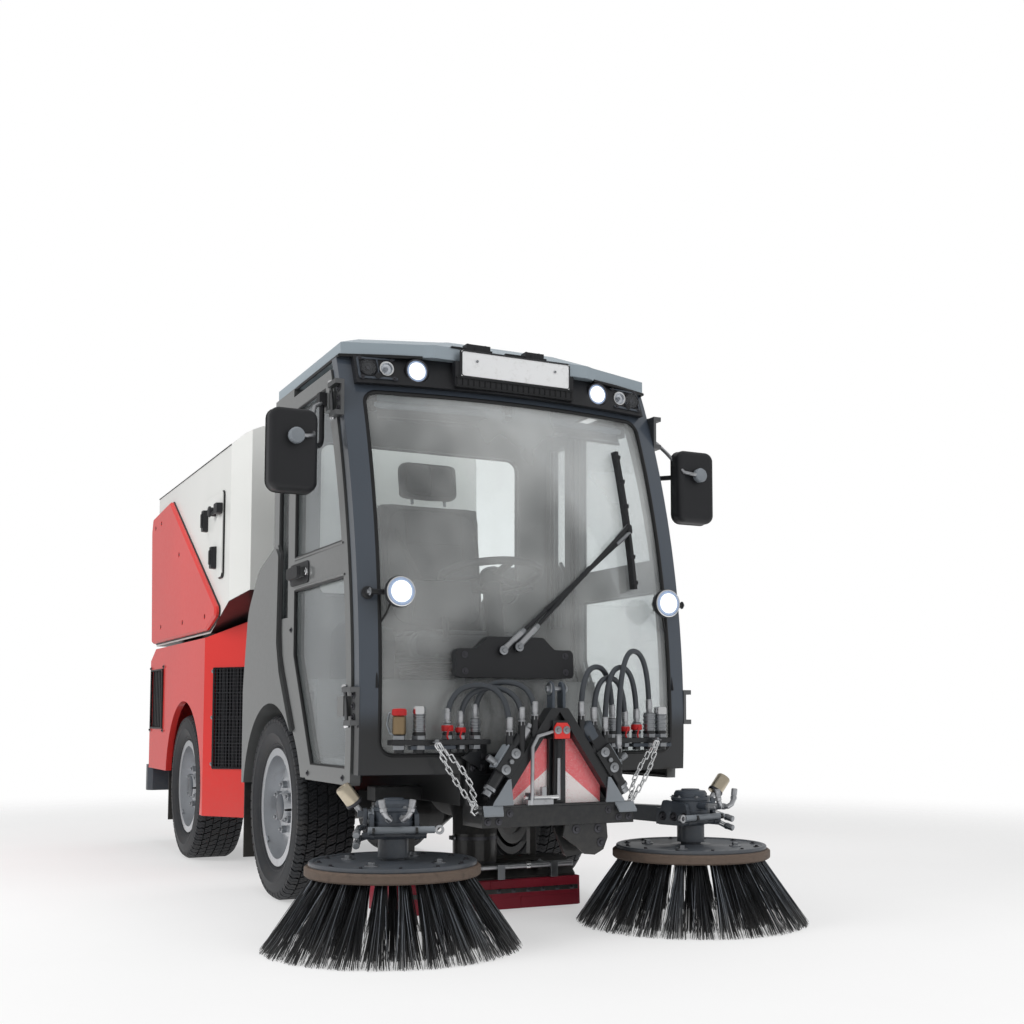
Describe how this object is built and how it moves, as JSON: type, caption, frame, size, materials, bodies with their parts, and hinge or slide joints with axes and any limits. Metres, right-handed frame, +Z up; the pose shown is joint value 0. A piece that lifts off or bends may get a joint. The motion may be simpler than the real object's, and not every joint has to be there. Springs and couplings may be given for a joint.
{
  "type": "articulated compact street sweeper",
  "caption": "Articulated street sweeper with a glazed cab, tipping hopper, suction mouth and side brooms on lifting arms.",
  "frame": {"origin": "on the ground, at the middle of the overall length and width", "axes": "+X forward, +Y to the driver's left, +Z up"},
  "size_m": [4.0912, 1.863, 1.99],
  "materials": {
    "red_paint": "gloss",
    "white_paint": "satin",
    "taupe_paint": "satin",
    "roof_grey": "satin",
    "black_plastic": "matte",
    "frame_steel": "satin",
    "dark_grey": "satin",
    "rubber": "matte",
    "red_rubber": "matte",
    "tyre_rubber": "matte",
    "rim_silver": "satin",
    "glass": "gloss",
    "lamp_lens": "gloss",
    "tail_lens": "gloss",
    "plate_white": "gloss",
    "chevron": "satin",
    "fittings": "brushed",
    "seat_cloth": "matte",
    "bristle": "matte"
  },
  "bodies": {
    "rear": {"rear_chassis": "frame_steel", "rear_axle": "frame_steel", "engine": "dark_grey", "side_panels": "red_paint", "grilles": "black_plastic", "rear_deck": "frame_steel", "tail_panel": "red_paint", "tail_lamps": "tail_lens", "rear_bumper": "dark_grey", "rear_mudflaps": "rubber"},
    "hopper": {"hopper_shell": "white_paint", "hopper_shields": "red_paint", "hopper_hatches": "white_paint"},
    "hopper_flap": {"hopper_flap": "white_paint"},
    "front": {"front_chassis": "frame_steel", "front_axle": "frame_steel", "cab_frame": "taupe_paint", "windscreen": "glass", "cab_floor": "taupe_paint", "cab_back": "taupe_paint", "cab_quarters": "taupe_paint", "cab_glass": "glass", "cab_roof": "roof_grey", "visor": "black_plastic", "number_plate": "plate_white", "lamps": "lamp_lens", "door_hinges": "fittings", "fenders": "taupe_paint", "seat": "seat_cloth", "steering": "black_plastic", "wiper": "black_plastic", "front_carrier": "frame_steel", "chevron_panels": "chevron", "hydraulic_rack": "frame_steel", "hoses": "rubber", "suction_mouth": "frame_steel", "mouth_flap": "red_rubber", "suction_duct": "rubber", "front_mudflaps": "rubber"},
    "wheel_front_right": {"tyre_front_right": "tyre_rubber", "rim_front_right": "rim_silver"},
    "wheel_front_left": {"tyre_front_left": "tyre_rubber", "rim_front_left": "rim_silver"},
    "wheel_rear_right": {"tyre_rear_right": "tyre_rubber", "rim_rear_right": "rim_silver"},
    "wheel_rear_left": {"tyre_rear_left": "tyre_rubber", "rim_rear_left": "rim_silver"},
    "door_right": {"door_right": "taupe_paint", "door_glass_right": "glass", "mirror_right": "black_plastic"},
    "knuckle_right": {"broom_knuckle_right": "frame_steel"},
    "arm_right": {"broom_arm_right": "dark_grey"},
    "broom_right": {"broom_right": "bristle"},
    "door_left": {"door_left": "taupe_paint", "door_glass_left": "glass", "mirror_left": "black_plastic"},
    "knuckle_left": {"broom_knuckle_left": "frame_steel"},
    "arm_left": {"broom_arm_left": "dark_grey"},
    "broom_left": {"broom_left": "bristle"}
  },
  "joints": [
    {"name": "articulation", "type": "hinge", "parent": "rear", "child": "front", "pos_m": [-0.185, 0, 0.455], "axis": [0, 0, 1], "range_deg": [-40, 40]},
    {"name": "hopper_tip", "type": "hinge", "parent": "rear", "child": "hopper", "pos_m": [-1.885, 0, 1.035], "axis": [0, -1, 0], "range_deg": [0, 50]},
    {"name": "hopper_flap_swing", "type": "hinge", "parent": "hopper", "child": "hopper_flap", "pos_m": [-1.935, 0, 1.932], "axis": [0, 1, 0], "range_deg": [0, 80]},
    {"name": "spin_front_right", "type": "hinge", "parent": "front", "child": "wheel_front_right", "pos_m": [0.515, -0.4875, 0.345], "axis": [0, 1, 0], "continuous": true},
    {"name": "spin_front_left", "type": "hinge", "parent": "front", "child": "wheel_front_left", "pos_m": [0.515, 0.4875, 0.345], "axis": [0, 1, 0], "continuous": true},
    {"name": "spin_rear_right", "type": "hinge", "parent": "rear", "child": "wheel_rear_right", "pos_m": [-1.075, -0.4875, 0.345], "axis": [0, 1, 0], "continuous": true},
    {"name": "spin_rear_left", "type": "hinge", "parent": "rear", "child": "wheel_rear_left", "pos_m": [-1.075, 0.4875, 0.345], "axis": [0, 1, 0], "continuous": true},
    {"name": "door_right_swing", "type": "hinge", "parent": "front", "child": "door_right", "pos_m": [1.449, -0.622, 0.72], "axis": [-0.1794, 0, 0.9838], "range_deg": [0, 65]},
    {"name": "broom_swing_right", "type": "hinge", "parent": "front", "child": "knuckle_right", "pos_m": [1.195, -0.4, 0.352], "axis": [0, 0, -1], "range_deg": [-6, 25]},
    {"name": "broom_lift_right", "type": "hinge", "parent": "knuckle_right", "child": "arm_right", "pos_m": [1.26594, -0.42105, 0.352], "axis": [-0.2844, -0.9587, 0], "range_deg": [0, 12]},
    {"name": "broom_spin_right", "type": "hinge", "parent": "arm_right", "child": "broom_right", "pos_m": [1.65, -0.535, 0.24], "axis": [0, 0, 1], "continuous": true},
    {"name": "door_left_swing", "type": "hinge", "parent": "front", "child": "door_left", "pos_m": [1.449, 0.622, 0.72], "axis": [0.1794, 0, -0.9838], "range_deg": [0, 65]},
    {"name": "broom_swing_left", "type": "hinge", "parent": "front", "child": "knuckle_left", "pos_m": [1.195, 0.4, 0.352], "axis": [0, 0, 1], "range_deg": [-6, 25]},
    {"name": "broom_lift_left", "type": "hinge", "parent": "knuckle_left", "child": "arm_left", "pos_m": [1.26594, 0.42105, 0.352], "axis": [0.2844, -0.9587, 0], "range_deg": [0, 12]},
    {"name": "broom_spin_left", "type": "hinge", "parent": "arm_left", "child": "broom_left", "pos_m": [1.65, 0.535, 0.24], "axis": [0, 0, 1], "continuous": true}
  ]
}
